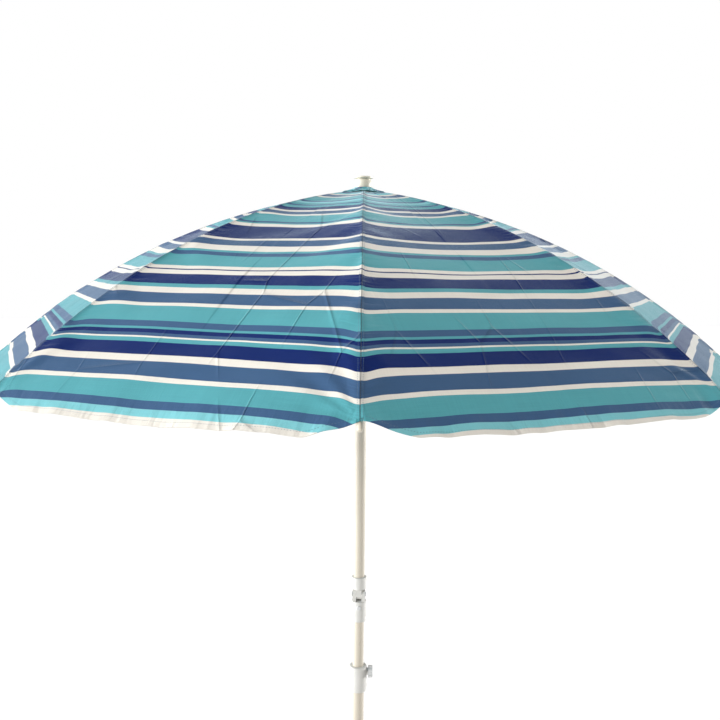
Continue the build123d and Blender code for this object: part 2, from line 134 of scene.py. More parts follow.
def half_width(arc):
    """Half the width of a gore at an arc length from the apex."""
    return profile(arc)[0] * sin(HALF_GORE)


TIP_HALF = float(half_width(GORE_LENGTH))


def hem_arc(share):
    """Arc length of the hem at a share of the half gore, 0 in the middle and 1 at a rib."""
    corner = 1 - HEM_CORNER / TIP_HALF
    cut = np.clip((np.abs(share) - corner) / (1 - corner), 0, 1)
    return GORE_LENGTH + HEM_DROP * (0.76 * (1 - cut ** 1.15) + 0.24 * (1 - share ** 2))


def smooth(x):
    x = np.clip(x, 0, 1)
    return x * x * (3 - 2 * x)


def lumps(x, y, seed):
    """Smooth seeded noise from -1 to 1, with about one lump in each unit square."""
    x, y = np.broadcast_arrays(x, y)
    table = np.random.RandomState(seed).uniform(-1, 1, (NOISE_SIZE, NOISE_SIZE))
    column = np.floor(x).astype(int)
    row = np.floor(y).astype(int)
    across = smooth(x - column)
    down = smooth(y - row)
    left, right = column % NOISE_SIZE, (column + 1) % NOISE_SIZE
    here, below = row % NOISE_SIZE, (row + 1) % NOISE_SIZE
    top = table[left, here] * (1 - across) + table[right, here] * across
    low = table[left, below] * (1 - across) + table[right, below] * across
    return top * (1 - down) + low * down


def rise(arc, lateral, gore):
    """How far the cloth stands out of the straight line between its two ribs."""
    width = half_width(arc)
    share = np.clip(lateral / width, -1, 1)
    seam = np.maximum(width - np.abs(lateral), 0)
    side = np.where(lateral < 0, 1, 2) * 17.0
    hem = np.maximum(hem_arc(share) - arc, 0)
    held = 1 - np.exp(-seam / 0.006)
    sag = -SAG * np.sin(pi * np.clip(arc / SAG_END, 0, 1)) ** 1.3
    bulge = HEM_BULGE * smooth((arc - SAG_END) / 0.12)
    out = (sag + bulge) * (1 - share ** 2)
    # puckers drawn up by the seam's stitches, and folds that run off it
    pucker = lumps((arc + 0.5 * seam) / 0.021, side, 11 + gore)
    out = out + SEAM_PUCKER * pucker * np.exp(-seam / 0.026) * held
    drag = lumps((arc - 0.9 * seam) / 0.045, side + seam / 0.3, 31 + gore)
    out = out + SEAM_DRAG * drag * np.exp(-seam / 0.085) * held * smooth(arc / 0.35)
    # puckers of the hem's stitches, and its slack waves
    pucker = lumps(lateral / 0.024, hem / 0.06, 51 + gore)
    out = out + HEM_PUCKER * pucker * np.exp(-hem / 0.026) * held
    wave = lumps(lateral / 0.085, hem / 0.30, 71 + gore)
    out = out + HEM_WAVE * wave * np.exp(-hem / 0.070) * held
    # tension folds that fan out of each tip
    for sign, seed in ((-1, 91), (1, 111)):
        away = np.hypot(arc - GORE_LENGTH, lateral - sign * TIP_HALF)
        angle = np.arctan2(GORE_LENGTH - arc, TIP_HALF - sign * lateral)
        fan = lumps(angle * 5, away / 0.4, seed + gore)
        out = out + TIP_FAN * fan * smooth(away / 0.11) * np.exp(-away / 0.15) * held
    # slack creases across the gore
    slack = lumps((arc + 0.45 * lateral) / 0.055, (lateral - 0.3 * arc) / 0.16, 131 + gore)
    out = out + SLACK * slack * (1 - share ** 2) * smooth(arc / 0.25)
    return out


def gore_place(gore, arc, lateral, extra=0.0):
    """Points of a gore's cloth, pushed out of it by extra."""
    middle = (gore + 0.5) * 2 * HALF_GORE
    outward = np.array((sin(middle), -cos(middle), 0.0))
    across = np.array((cos(middle), sin(middle), 0.0))
    radius, height, slope = profile(arc)
    facing = np.stack([np.sin(slope), np.cos(slope) * cos(HALF_GORE)], -1)
    facing = facing / np.linalg.norm(facing, axis=-1, keepdims=True)
    lift = (rise(arc, lateral, gore) + extra)[..., None]
    flat = radius * cos(HALF_GORE)
    point = flat[..., None] * outward + lateral[..., None] * across
    point = point + (APEX_Z + height)[..., None] * np.array((0.0, 0.0, 1.0))
    push = facing[..., :1] * outward + facing[..., 1:] * np.array((0.0, 0.0, 1.0))
    return point + lift * push


def gore_normal(gore, arc, lateral):
    """Outward normals of a gore's cloth, from differences over half a millimetre."""
    step = 0.0005
    down = gore_place(gore, arc + step, lateral) - gore_place(gore, arc - step, lateral)
    over = gore_place(gore, arc, lateral + step) - gore_place(gore, arc, lateral - step)
    normal = np.cross(down, over)
    normal = normal / np.linalg.norm(normal, axis=-1, keepdims=True)
    return np.where(normal[..., 2:] < 0, -normal, normal)


# ------------------------------------------------------------------ meshes
def closed_sheet(name, top, low, uvs, normals, material, edges=None):
    """A closed thin solid from a grid of upper and lower points. normals are of the upper side."""
    rows, columns = top.shape[:2]
    count = rows * columns
    vertices = np.concatenate([top.reshape(-1, 3), low.reshape(-1, 3)])
    index = np.arange(count).reshape(rows, columns)
    a, b, c, d = index[:-1, :-1], index[1:, :-1], index[1:, 1:], index[:-1, 1:]
    upper = np.stack([a, b, c, d], -1).reshape(-1, 4)
    under = upper[:, ::-1] + count
    rim = np.concatenate([index[0, ::-1], index[1:, 0], index[-1, 1:], index[-2:0:-1, -1]])
    following = np.roll(rim, -1)
    wall = np.stack([following, rim, rim + count, following + count], -1)
    faces = np.concatenate([upper, under, wall])
    mesh = bpy.data.meshes.new(name)
    mesh.from_pydata(vertices.tolist(), [], faces.tolist())
    layer = mesh.uv_layers.new(name="flat")
    flat_uv = np.concatenate([uvs.reshape(-1, 2)] * 2)
    layer.data.foreach_set("uv", flat_uv[faces.ravel()].astype(np.float32).ravel())
    margin = mesh.uv_layers.new(name="edges")
    far = np.full((count, 2), 0.5) if edges is None else edges.reshape(-1, 2)
    far = np.concatenate([far] * 2)
    margin.data.foreach_set("uv", far[faces.ravel()].astype(np.float32).ravel())
    mesh.polygons.foreach_set("use_smooth", [True] * len(faces))
    facing = np.concatenate([normals.reshape(-1, 3), -normals.reshape(-1, 3)])[faces.ravel()]
    corner = vertices[wall[:, 0]]
    edge = np.cross(vertices[wall[:, 1]] - corner, vertices[wall[:, 3]] - corner)
    edge = edge / np.maximum(np.linalg.norm(edge, axis=1, keepdims=True), 1e-12)
    facing[-4 * len(wall):] = np.repeat(edge, 4, axis=0)
    mesh.normals_split_custom_set(facing.tolist())
    mesh.materials.append(material)
    piece = bpy.data.objects.new(name, mesh)
    bpy.context.collection.objects.link(piece)
    return piece


def rib_frame(number):
    """Tangent and a point of a rib's cloth line, from its azimuth."""
    azimuth = (number - 1) * 2 * HALF_GORE
    radius, height, _ = profile(np.array(GORE_LENGTH / 2))
    tangent = (cos(azimuth), sin(azimuth), 0.0)
    anchor = (sin(azimuth) * float(radius), -cos(azimuth) * float(radius), APEX_Z + float(height))
    return tangent, anchor


def rib_sides(number):
    """The gores at the two sides of a rib, as (gore, side of that gore)."""
    return ((number - 2) % RIBS, 1), (number - 1, -1)


# how far each gore's stripes lie from their mean place at mid-gore
STRIPE_SHIFTS = (-0.0050, 0.0015, -0.001, 0.002, -0.0015, 0.001, 0.0, 0.0)


def stripe_row(gore, arc, lateral):
    """Where a point lies down the stripes. They meet over a rib, and dip to it near the hem."""
    beside = np.exp(-((half_width(arc) - np.abs(lateral)) / SEAM_DIP_WIDTH) ** 2)
    dip = SEAM_DIP * smooth((arc - 0.50) / 0.35)
    return arc + STRIPE_SHIFTS[gore] * (1 - beside) - dip * beside


def strip_grid(columns, arcs, near, far):
    """Shares and arc lengths between two distances from the rib, from the far one to the near one.

    The shares run 0 at mid-gore to 1 at the rib. A far of None means mid-gore."""
    step = np.linspace(0, 1, columns + 1)[None, :]
    share = step
    for _ in range(12):
        width = half_width(arcs(share))
        start = MIDDLE if far is None else np.maximum(1 - far / width, MIDDLE)
        share = start + step * (np.maximum(1 - near / width, 4 * MIDDLE) - start)
    return share, arcs(share)


def two_sided(number, grid, extra_top, extra_low):
    """Points, UVs, normals and distances to the edges of a strip at both sides of a rib."""
    tops, lows, uvs, normals, edges = [], [], [], [], []
    for gore, side in rib_sides(number):
        order, arc = (values[:, ::side] for values in grid)
        lateral = side * order * half_width(arc)
        tops.append(gore_place(gore, arc, lateral, extra_top))
        lows.append(gore_place(gore, arc, lateral, extra_low))
        normals.append(gore_normal(gore, arc, lateral * 0.9999))
        uvs.append(np.stack([lateral + gore, stripe_row(gore, arc, lateral)], -1))
        edges.append(np.stack([half_width(arc) - np.abs(lateral), hem_arc(order) - arc], -1))
    return tops, lows, uvs, normals, edges


def joined(pair):
    """Both half gores as one grid that shares the line over the rib."""
    left, right = pair
    shared = (left[:, -1:] + right[:, :1]) / 2
    return np.concatenate([left[:, :-1], shared, right[:, 1:]], axis=1)


def unit(grid):
    return grid / np.linalg.norm(grid, axis=-1, keepdims=True)


def joined_uv(pair):
    """The rib's own column keeps the left gore's stripes."""
    left, right = pair
    return np.concatenate([left, right[:, 1:]], axis=1)


# ------------------------------------------------------------------ material helpers
def linear(red, green, blue):
    """A colour given as sRGB 0 to 255, as a linear RGBA."""
    def one(value):
        value = value / 255
        return value / 12.92 if value <= 0.04045 else ((value + 0.055) / 1.055) ** 2.4
    return (one(red), one(green), one(blue), 1.0)


class Nodes:
    """Short calls for one material's nodes."""

    def __init__(self, name):
        self.material = bpy.data.materials.new(name)
        self.material.use_nodes = True
        self.tree = self.material.node_tree
        self.shader = self.tree.nodes["Principled BSDF"]
        self.output = self.tree.nodes["Material Output"]

    def add(self, kind, **values):
        node = self.tree.nodes.new(kind)
        for key, value in values.items():
            setattr(node, key, value)
        return node

    def link(self, source, target):
        self.tree.links.new(source, target)

    def put(self, target, value):
        if isinstance(value, bpy.types.NodeSocket):
            self.link(value, target)
        else:
            target.default_value = value

    def math(self, operation, a, b=0.0):
        node = self.add("ShaderNodeMath", operation=operation)
        for slot, value in zip(node.inputs, (a, b)):
            self.put(slot, value)
        return node.outputs[0]

    def noise(self, vector, scale, detail=2.0, roughness=0.5):
        node = self.add("ShaderNodeTexNoise")
        self.put(node.inputs["Vector"], vector)
        node.inputs["Scale"].default_value = scale
        node.inputs["Detail"].default_value = detail
        node.inputs["Roughness"].default_value = roughness
        return node.outputs["Fac"]

    def stretched(self, vector, scale):
        node = self.add("ShaderNodeMapping")
        self.link(vector, node.inputs["Vector"])
        node.inputs["Scale"].default_value = scale
        return node.outputs["Vector"]

    def span(self, value, low, high, to_low=0.0, to_high=1.0):
        node = self.add("ShaderNodeMapRange")
        for slot, number in zip(node.inputs, (value, low, high, to_low, to_high)):
            self.put(slot, number)
        return node.outputs["Result"]

    def blend(self, factor, a, b, kind="MIX"):
        node = self.add("ShaderNodeMix", data_type="RGBA", blend_type=kind)
        self.put(node.inputs[0], factor)
        self.put(node.inputs[6], a)
        self.put(node.inputs[7], b)
        return node.outputs[2]

    def shade(self, colour, amount):
        """A colour made lighter or darker by a number round 1."""
        tint = self.add("ShaderNodeCombineColor")
        for slot in tint.inputs:
            self.put(slot, amount)
        return self.blend(1.0, colour, tint.outputs[0], "MULTIPLY")

    def bump(self, height, distance, strength, onto=None):
        node = self.add("ShaderNodeBump")
        node.inputs["Distance"].default_value = distance
        node.inputs["Strength"].default_value = strength
        self.link(height, node.inputs["Height"])
        if onto is not None:
            self.link(onto, node.inputs["Normal"])
        return node.outputs["Normal"]

    def set(self, **values):
        for key, value in values.items():
            self.put(self.shader.inputs[key.replace("_", " ")], value)


# ------------------------------------------------------------------ striped cloth
TEAL = linear(84, 159, 168)
AQUA = linear(122, 190, 198)
SLATE = linear(60, 91, 128)
NAVY = linear(6, 34, 98)
WHITE = linear(222, 219, 211)
# Width of each stripe in millimetres from the apex to the hem.
STRIPES = (
    (55, TEAL), (15, SLATE), (22, AQUA), (12, WHITE), (24, SLATE), (12, WHITE), (36, TEAL),
    (10, SLATE), (14, AQUA), (14, TEAL), (8, SLATE), (14, TEAL), (22, NAVY), (12, WHITE),
    (20, SLATE), (9, WHITE), (41, TEAL), (7, SLATE), (7, TEAL), (16, WHITE), (64, NAVY),
    (9, WHITE), (25, SLATE), (23, WHITE), (8, TEAL), (12, SLATE), (43, TEAL), (10, WHITE),
    (5, NAVY), (14, WHITE), (33, NAVY), (11, TEAL), (17, WHITE), (30, SLATE), (10, WHITE),
    (42, TEAL), (16, SLATE), (4, TEAL), (11, NAVY), (6, SLATE), (5, WHITE), (10, TEAL),
    (27, NAVY), (16, WHITE), (32, SLATE), (10, WHITE), (34, TEAL), (15, SLATE), (13, AQUA),
    (60, WHITE),
)
STRIPES_IN_RAMP = 25            # a ramp holds at most 32
THREAD_PITCH = 0.0007           # of the weave
LIGHT_THROUGH = 0.22            # share of the light that comes through the cloth


def stripes(n, v):
    """The striped colour at an arc length v."""
    colour = None
    start = 0.0
    for first in range(0, len(STRIPES), STRIPES_IN_RAMP):
        part = STRIPES[first:first + STRIPES_IN_RAMP]
        length = sum(width for width, _ in part) / 1000
        ramp = n.add("ShaderNodeValToRGB")
        ramp.color_ramp.interpolation = "CONSTANT"
        while len(ramp.color_ramp.elements) > 1:
            ramp.color_ramp.elements.remove(ramp.color_ramp.elements[-1])
        ramp.color_ramp.elements[0].position = 0.0
        ramp.color_ramp.elements[0].color = part[0][1]
        reached = 0.0
        for (width, _), (_, after) in zip(part, part[1:]):
            reached += width / 1000
            ramp.color_ramp.elements.new(reached / length).color = after
        n.link(n.span(v, start, start + length), ramp.inputs[0])
        if colour is None:
            colour = ramp.outputs[0]
        else:
            colour = n.blend(n.math("GREATER_THAN", v, start), colour, ramp.outputs[0])
        start += length
    return colour


def cloth_material(name):
    """Woven polyester: stripes, threads, slubs, wrinkles, a sheen and some light coming through."""
    n = Nodes(name)
    place = n.add("ShaderNodeUVMap", uv_map="flat").outputs[0]
    parts = n.add("ShaderNodeSeparateXYZ")
    n.link(place, parts.inputs[0])
    u, v = parts.outputs[0], parts.outputs[1]
    wander = n.math("MULTIPLY", n.math("SUBTRACT", n.noise(place, 9.0, 3.0), 0.5), 0.0024)
    colour = stripes(n, n.math("ADD", v, wander))
    margin = n.add("ShaderNodeSeparateXYZ")
    n.link(n.add("ShaderNodeUVMap", uv_map="edges").outputs[0], margin.inputs[0])
    to_seam, to_hem = margin.outputs[0], margin.outputs[1]
    slub_u = n.noise(n.stretched(place, (12.0, 900.0, 1.0)), 1.0, 2.0)
    slub_v = n.noise(n.stretched(place, (900.0, 12.0, 1.0)), 1.0, 2.0)
    blotch = n.noise(place, 7.0, 4.0)
    tone = n.math("ADD", n.span(slub_u, 0.3, 0.7, 0.965, 1.03),
                  n.span(slub_v, 0.3, 0.7, -0.03, 0.03))
    tone = n.math("ADD", tone, n.span(blotch, 0.3, 0.7, -0.035, 0.035))
    colour = n.shade(colour, tone)
    # fine puckers along the stitching, and sharp creases left by folding, whose colour is darkened
    # along their lines as painted shade
    by_seam = n.math("MULTIPLY", n.noise(n.stretched(place, (14.0, 95.0, 1.0)), 1.0, 2.0),
                     n.span(to_seam, 0.0, 0.045, 1.0, 0.0))
    by_hem = n.math("MULTIPLY", n.noise(n.stretched(place, (80.0, 9.0, 1.0)), 1.0, 2.0),
                    n.span(to_hem, 0.0, 0.050, 1.0, 0.0))
    crease_place = n.add("ShaderNodeMapping")
    n.link(place, crease_place.inputs["Vector"])
    crease_place.inputs["Rotation"].default_value = (0.0, 0.0, radians(28))
    crease_place.inputs["Scale"].default_value = (11.0, 3.2, 1.0)
    cells = n.add("ShaderNodeTexVoronoi", feature="DISTANCE_TO_EDGE", voronoi_dimensions="2D")
    n.link(crease_place.outputs[0], cells.inputs["Vector"])
    cells.inputs["Scale"].default_value = 1.0
    line = n.span(cells.outputs["Distance"], 0.0, 0.035, 1.0, 0.0)
    shown = n.span(n.noise(place, 5.0, 1.0), 0.46, 0.58)
    crease = n.math("MULTIPLY", n.math("MULTIPLY", line, line), shown)
    # painted shade: the cloth's colour is made darker along the creases
    colour = n.shade(colour, n.math("SUBTRACT", 1.0, n.math("MULTIPLY", crease, 0.17)))
    # painted shade: the cloth's colour darkens towards the fold of the felled seam
    colour = n.shade(colour, n.span(to_seam, 0.0004, 0.0016, 0.50, 1.0))
    warp = n.math("SINE", n.math("MULTIPLY", u, 2 * pi / THREAD_PITCH))
    weft = n.math("SINE", n.math("MULTIPLY", v, 2 * pi / THREAD_PITCH))
    weave = n.math("MULTIPLY", warp, weft)
    normal = n.bump(n.noise(place, 42.0, 4.0, 0.55), 0.0018, 0.30)
    normal = n.bump(n.math("ADD", by_seam, by_hem), 0.0045, 0.65, normal)
    normal = n.bump(crease, 0.0016, 0.8, normal)
    normal = n.bump(n.math("ADD", slub_u, slub_v), 0.0002, 0.35, normal)
    normal = n.bump(weave, 0.00008, 0.5, normal)
    n.set(Base_Color=colour, Roughness=n.span(blotch, 0.2, 0.8, 0.62, 0.78), Normal=normal)
    n.set(Sheen_Weight=0.60, Sheen_Roughness=0.28, Sheen_Tint=(0.75, 0.90, 1.0, 1.0))
    n.set(Specular_IOR_Level=0.10)
    through = n.add("ShaderNodeBsdfTranslucent")
    n.put(through.inputs["Color"], colour)
    n.link(normal, through.inputs["Normal"])
    mixed = n.add("ShaderNodeMixShader")
    mixed.inputs[0].default_value = LIGHT_THROUGH
    n.link(n.shader.outputs[0], mixed.inputs[1])
    n.link(through.outputs[0], mixed.inputs[2])
    n.link(mixed.outputs[0], n.output.inputs[0])
    return n.material


def thread_material():
    """Spun polyester sewing thread, twisted."""
    n = Nodes("sewing_thread")
    place = n.add("ShaderNodeTexCoord").outputs["Object"]
    twist = n.noise(n.stretched(place, (2600.0, 2600.0, 900.0)), 1.0, 2.0)
    colour = n.shade(linear(58, 96, 120), n.span(twist, 0.3, 0.7, 0.86, 1.05))
    n.set(Base_Color=colour, Roughness=0.65, Normal=n.bump(twist, 0.0002, 0.5))
    n.set(Sheen_Weight=0.3, Sheen_Roughness=0.5)
    return n.material


def finish_material(name, colour, metallic, rough, grain, bump, coat=0.0, streak=None, soil=0.08):
    """Moulded plastic, enamel or drawn metal with grain, handling marks and slight soiling."""
    n = Nodes(name)
    place = n.add("ShaderNodeTexCoord").outputs["Object"]
    fine_place = n.stretched(place, streak) if streak else place
    fine = n.noise(fine_place, grain, 3.0, 0.6)
    wide = n.noise(place, 18.0, 5.0, 0.6)
    scuff = n.noise(n.stretched(place, (1.0, 1.0, 0.25)), 160.0, 6.0, 0.7)
    marks = n.span(scuff, 0.60, 0.72)
    tone = n.math("ADD", n.span(wide, 0.3, 0.7, 1.0 - soil, 1.0),
                  n.span(fine, 0.3, 0.7, -0.02, 0.02))
    tone = n.math("SUBTRACT", tone, n.math("MULTIPLY", marks, soil * 0.6))
    gloss = n.math("ADD", n.span(wide, 0.3, 0.7, rough - 0.06, rough + 0.06),
                   n.math("MULTIPLY", marks, 0.10))
    normal = n.bump(wide, 0.0006, 0.12)
    normal = n.bump(fine, bump, 0.45, normal)
    n.set(Base_Color=n.shade(linear(*colour), tone), Metallic=metallic, Roughness=gloss,
          Normal=normal)
    n.set(Coat_Weight=coat, Coat_Roughness=0.15)
    return n.material


# what differs between the finishes: colour, metallic, roughness, grain and its depth
FINISH_LOOKS = {
    "cap_plastic": ((205, 200, 184), 0.0, 0.42, 1400.0, 0.00010, {}),
    "hub_plastic": ((200, 200, 196), 0.0, 0.46, 1200.0, 0.00012, {}),
    "tip_plastic": ((208, 202, 186), 0.0, 0.40, 1500.0, 0.00010, {}),
    "rib_rod": ((196, 198, 198), 0.0, 0.36, 600.0, 0.00008,
                {"coat": 0.25, "streak": (1.0, 1.0, 6.0)}),
    "stretcher_steel": ((176, 180, 184), 1.0, 0.34, 700.0, 0.00006,
                        {"streak": (1.0, 1.0, 5.0)}),
    "pole_steel": ((194, 187, 172), 0.0, 0.32, 420.0, 0.00010, {"coat": 0.45, "soil": 0.05}),
    "pin_steel": ((188, 190, 192), 1.0, 0.28, 900.0, 0.00005, {"streak": (8.0, 1.0, 8.0)}),
    "screw_plastic": ((198, 200, 200), 0.0, 0.45, 1300.0, 0.00012, {}),
    "spike_plastic": ((196, 197, 194), 0.0, 0.50, 900.0, 0.00016, {"soil": 0.16}),
}
FINISHES = {slot: finish_material(f"{slot}_look", *look, **more)
            for slot, (*look, more) in FINISH_LOOKS.items()}
CLOTH_LOOK = cloth_material("canopy_cloth_look")
THREAD_LOOK = thread_material()

NODE_SLOTS = {
    "cap_plastic": ["top_cap"],
    "hub_plastic": ["crown", "runner", "tilt_head", "tilt_base", "clamp_collar"],
    "rib_rod": ["rib_"],
    "tip_plastic": ["rib_tip_", "rib_bracket_"],
    "stretcher_steel": ["stretcher_"],
    "pole_steel": ["upper_pole", "middle_pole", "lower_pole"],
    "pin_steel": ["crown_pins", "runner_pins", "tilt_pin"],
    "screw_plastic": ["clamp_screw", "runner_screw", "tilt_button"],
    "spike_plastic": ["ground_spike"],
}
for finish, names in NODE_SLOTS.items():
    for stem in names:
        wanted = [f"{stem}{k}" for k in range(1, RIBS + 1)] if stem.endswith("_") else [stem]
        for name in wanted:
            data = nodes[name].data
            if not data.materials:
                data.materials.append(FINISHES[finish])
            for slot_number in range(len(data.materials)):
                nodes[name].material_slots[slot_number].material = FINISHES[finish]


# ------------------------------------------------------------------ canopy
def strip_area(near, far):
    """Flat area of the cloth between two distances from a rib, at one side of it.

    The cut at the hem's corner isn't taken off."""
    arcs = np.linspace(START_ARC, GORE_LENGTH, 400)
    widths = np.clip(half_width(arcs), near, far) - near
    body = float(((widths[1:] + widths[:-1]) / 2 * np.diff(arcs)).sum())
    return body + HEM_DROP * (far - near)


def stitch_row(points, normals):
    """A row of stitches: short rounded threads lying along a line of points."""
    step = np.linalg.norm(np.diff(points, axis=0), axis=1)
    along = np.concatenate([[0], np.cumsum(step)])
    starts = np.arange(STITCH_PITCH / 2, along[-1] - STITCH_LENGTH, STITCH_PITCH)
    around = 5
    vertices, faces = [], []
    for start in starts:
        spots = start + STITCH_LENGTH * np.array((0.0, 0.25, 0.75, 1.0))
        centre = np.stack([np.interp(spots, along, points[:, axis]) for axis in range(3)], 1)
        up = np.array([np.interp(start, along, normals[:, axis]) for axis in range(3)])
        way = centre[-1] - centre[0]
        way = way / np.linalg.norm(way)
        aside = np.cross(way, up)
        base = len(vertices)
        for place, share, sink in zip(centre, (0.35, 1.0, 1.0, 0.35), (0.8, 0.0, 0.0, 0.8)):
            for turn in range(around):
                angle = 2 * pi * turn / around
                ring = STITCH_RADIUS * share * (cos(angle) * aside + sin(angle) * up)
                vertices.append(place + ring - sink * STITCH_RADIUS * up)
        for ring in range(3):
            for turn in range(around):
                a = base + ring * around + turn
                b = base + ring * around + (turn + 1) % around
                faces.append((a, b, b + around, a + around))
        faces.append(tuple(base + turn for turn in reversed(range(around))))
        faces.append(tuple(base + 3 * around + turn for turn in range(around)))
    return vertices, faces


def thread_piece(name, rows):
    """One object of several rows of stitches."""
    vertices, faces = [], []
    for row_vertices, row_faces in rows:
        base = len(vertices)
        vertices += [tuple(float(x) for x in vertex) for vertex in row_vertices]
        faces += [tuple(corner + base for corner in face) for face in row_faces]
    mesh = bpy.data.meshes.new(name)
    mesh.from_pydata(vertices, [], faces)
    mesh.polygons.foreach_set("use_smooth", [True] * len(faces))
    mesh.materials.append(THREAD_LOOK)
    piece = bpy.data.objects.new(name, mesh)
    bpy.context.collection.objects.link(piece)
    return piece


def build_panel(number):
    """The cloth near a rib, in one piece, and the cloth beyond it at either side."""
    down = np.linspace(0, 1, ROWS + 1)[:, None]

    def arcs(share):
        return START_ARC + down * (hem_arc(share) - START_ARC)

    tops, lows, uvs, normals, edges = two_sided(
        number, strip_grid(NEAR_COLUMNS, arcs, 0.0, NEAR_WIDTH), 0.0, -CLOTH)
    panel = closed_sheet(f"canopy_{number}", joined(tops), joined(lows), joined_uv(uvs),
                         unit(joined(normals)), CLOTH_LOOK, joined(edges))
    share, arc = strip_grid(SIDE_COLUMNS, arcs, NEAR_WIDTH, None)
    first = int(np.flatnonzero(share[:, -1] <= 4 * MIDDLE)[-1])
    strips = two_sided(number, (share[first:], arc[first:]), 0.0, -CLOTH)
    sides = [closed_sheet(f"canopy_side_{number}{word}", top, low, uv, normal, CLOTH_LOOK, edge)
             for word, top, low, uv, normal, edge in zip("ab", *strips)]
    return panel, sides


def build_seam(number):
    """Felled seam: a narrow raised strip along the rib's line."""
    across = np.linspace(0, SEAM_HALF, SEAM_COLUMNS)
    arc = np.linspace(START_ARC + SEAM_INNER_GAP, GORE_LENGTH - SEAM_TIP_GAP, SEAM_ROWS)
    arc = arc[:, None] + 0 * across[None, :]
    tops, lows, uvs, normals, edges = [], [], [], [], []
    for gore, side in rib_sides(number):
        order = across[::-1] if side > 0 else across
        dome = SEAM_RISE * (1 - (order / SEAM_HALF) ** 4) + SEAM_LIFT
        lateral = side * (half_width(arc) - order[None, :])
        tops.append(gore_place(gore, arc, lateral, dome[None, :]))
        lows.append(gore_place(gore, arc, lateral, SEAM_UNDER))
        normals.append(gore_normal(gore, arc, lateral - side * 0.0006))
        uvs.append(np.stack([lateral + gore, stripe_row(gore, arc, lateral)], -1))
        to_hem = hem_arc(1.0) - arc + SEAM_FROM_HEM
        edges.append(np.stack([order[None, :] + 0 * arc, to_hem], -1))
    top, normal = joined(tops), unit(joined(normals))
    strip = closed_sheet(f"canopy_seam_{number}", top, joined(lows), joined_uv(uvs), normal,
                         CLOTH_LOOK, joined(edges))
    rows_of_thread = [stitch_row(top[:, column], normal[:, column])
                      for column in (2, top.shape[1] - 3)]
    return strip, rows_of_thread


def build_hem(number, name, columns, near, far):
    """Folded hem that wraps the cloth's edge, at both sides of a rib."""
    back = np.array((1.0, 0.92, 0.5, 0.1, 0.0, -0.03))[:, None]
    swell = np.array((0.1, 1.0, 1.0, 1.0, 0.9, 0.2))[:, None] * HEM_RISE

    def arcs(share):
        return hem_arc(share) - back * HEM_WIDTH

    strips = two_sided(number, strip_grid(columns, arcs, near, far), swell, -CLOTH - swell)
    bands, rows_of_thread = [], []
    for word, top, low, uv, normal, edge in zip("ab", *strips):
        bands.append(closed_sheet(f"{name}_{number}{word}", top, low, uv, normal, CLOTH_LOOK, edge))
        rows_of_thread.append(stitch_row((top[1] + 2 * top[2]) / 3, normal[1]))
    return bands, rows_of_thread


# the parts as they are cut, without the hem's corners
CORNER_LEFT = HEM_DROP * (HEM_CORNER - NEAR_WIDTH) ** 2 / HEM_CORNER / 2
NEAR_AREA = 2 * (strip_area(0.0, NEAR_WIDTH) - HEM_DROP * HEM_CORNER / 2 + CORNER_LEFT)
SIDE_AREA = strip_area(NEAR_WIDTH, TIP_HALF) - CORNER_LEFT
# arc length at which a half gore gets as wide as the near part
ARCS = np.linspace(0, 1, 500)
SIDE_START = float(np.interp(NEAR_WIDTH, half_width(ARCS), ARCS))
NEAR_ACROSS = NEAR_WIDTH * cos(HALF_GORE)
# the anchor about which a fold would bring a side's inner edge where the near part's edge goes
SIDE_ANCHOR = NEAR_ACROSS * (NEAR_SHARE - SIDE_SHARE) / (1 - SIDE_SHARE)
for number in range(1, RIBS + 1):
    panel, sides = build_panel(number)
    seam, seam_rows = build_seam(number)
    near_hems, near_rows = build_hem(number, "canopy_hem", HEM_COLUMNS, HEM_END, NEAR_WIDTH)
    side_hems, side_rows = build_hem(number, "canopy_hem_side", SIDE_HEM_COLUMNS, NEAR_WIDTH, None)
    thread = thread_piece(f"canopy_thread_{number}", seam_rows + near_rows)
    near = [panel, seam, *near_hems, thread]
    tangent, anchor = rib_frame(number)
    groups = [(near, 0.0, NEAR_SHARE)]
    for word, sign, side, hem, row in zip("ab", (-1, 1), sides, side_hems, side_rows):
        side_thread = thread_piece(f"canopy_thread_side_{number}{word}", [row])
        groups.append(([side, hem, side_thread], sign * SIDE_ANCHOR, SIDE_SHARE))
    for pieces, offset, kept in groups:
        for piece in pieces:
            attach(piece, f"rib_{number}")
            tuple(place + offset * way for place, way in zip(anchor, tangent))
            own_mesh(piece)
            tuple(tangent)
        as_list(pieces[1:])
        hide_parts(f"canopy_panel_{number}")


# ------------------------------------------------------------------ collar under the cap
COLLAR_INNER = 0.0183           # just outside the cap's body
COLLAR_LOWER = 0.0445           # outer radii of the two rounds
COLLAR_UPPER = 0.0340
COLLAR_RINGS = 22
COLLAR_AROUND = 288
COLLAR_CLOTH = 0.0006
COLLAR_RAGGED = 0.0035          # unevenness of the outer edge
COLLAR_NECK = 0.0060            # how far the cloth climbs at the cap
COLLAR_RUFFLE = 0.0011
COLLAR_STRIPE = 0.188           # arc length of the stripes that the collar is cut from


